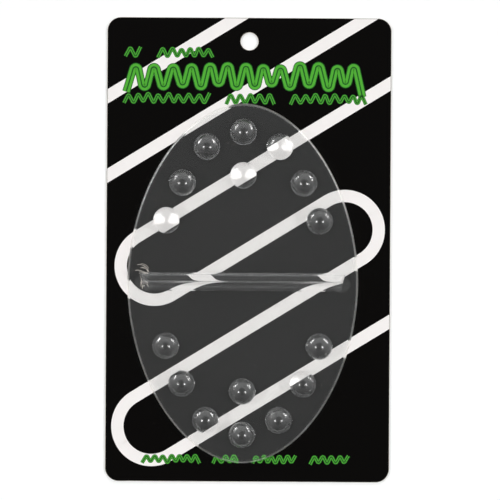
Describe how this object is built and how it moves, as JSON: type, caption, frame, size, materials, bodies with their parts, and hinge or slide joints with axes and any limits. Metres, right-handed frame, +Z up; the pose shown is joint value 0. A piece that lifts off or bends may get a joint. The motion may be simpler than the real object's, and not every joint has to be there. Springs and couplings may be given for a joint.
{
  "type": "snowboard stomp pad",
  "caption": "Clear oval stomp pad with domed grip studs and a scraper bar across its middle, held by its adhesive to a release liner on a printed hang card with a peg hole.",
  "frame": {"origin": "the middle of the card's back face, which it lies on", "axes": "+Z up through the card and the pad to the studs' crowns; +Y along the card towards its peg hole; +X to the right when the studs are looked down on with the peg hole at the top"},
  "size_m": [0.127, 0.2074, 0.0102],
  "materials": {
    "card_board": "solid board printed black all over the front, satin varnish",
    "white_print": "warm white print on the card's face, satin",
    "green_print": "leaf green print on the card's face, with a darker green edge, satin",
    "tack_glue": "set hot glue, pressed flat",
    "liner_film": "clear release film, gloss",
    "pad_adhesive": "clear pressure-sensitive adhesive, wetted out",
    "clear_urethane": "water-clear flexible urethane, gloss from a polished mould"
  },
  "bodies": {
    "card": {"backing_card": "card_board", "tack_spot_left": "tack_glue", "tack_spot_right": "tack_glue", "release_liner": "liner_film"},
    "pad": {"adhesive_film": "pad_adhesive", "pad_sheet": "clear_urethane", "scraper_bar": "clear_urethane", "stud_01": "clear_urethane", "stud_02": "clear_urethane", "stud_03": "clear_urethane", "stud_04": "clear_urethane", "stud_05": "clear_urethane", "stud_06": "clear_urethane", "stud_07": "clear_urethane", "stud_08": "clear_urethane", "stud_09": "clear_urethane", "stud_10": "clear_urethane", "stud_11": "clear_urethane", "stud_12": "clear_urethane", "stud_13": "clear_urethane", "stud_14": "clear_urethane", "stud_15": "clear_urethane", "stud_16": "clear_urethane"}
  },
  "joints": [
    {"name": "pad_peel", "type": "slide", "parent": "card", "child": "pad", "axis": [0, 0, 1], "range_m": [0, 0.03]}
  ]
}
